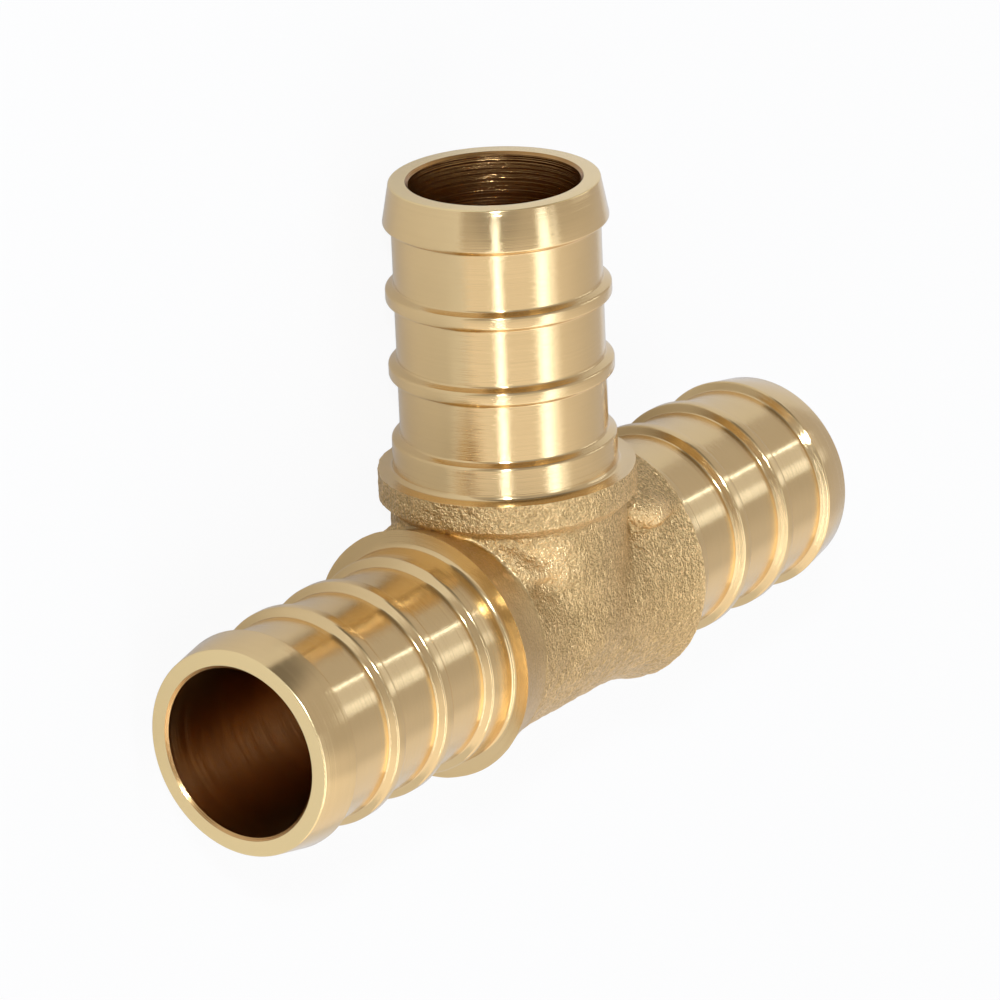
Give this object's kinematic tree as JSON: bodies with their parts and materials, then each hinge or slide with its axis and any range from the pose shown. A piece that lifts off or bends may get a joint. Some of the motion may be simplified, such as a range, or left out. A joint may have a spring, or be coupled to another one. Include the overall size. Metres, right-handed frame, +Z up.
{
  "type": "pex crimp tee",
  "caption": "Equal tee of forged brass with barbed inserts for crimped PEX tube; it joins a square branch to a straight run of water pipe.",
  "frame": {"origin": "where the run's axis and the branch's axis cross, midway between the run's ends", "axes": "+X along the run, +Y out along the branch, +Z up and square to both, so that the tee lies on its collars"},
  "size_m": [0.048, 0.0309, 0.0138],
  "materials": {
    "brass": "satin turned ends on a rough forged body"
  },
  "bodies": {
    "root": {"tee_body": "brass"}
  },
  "joints": []
}
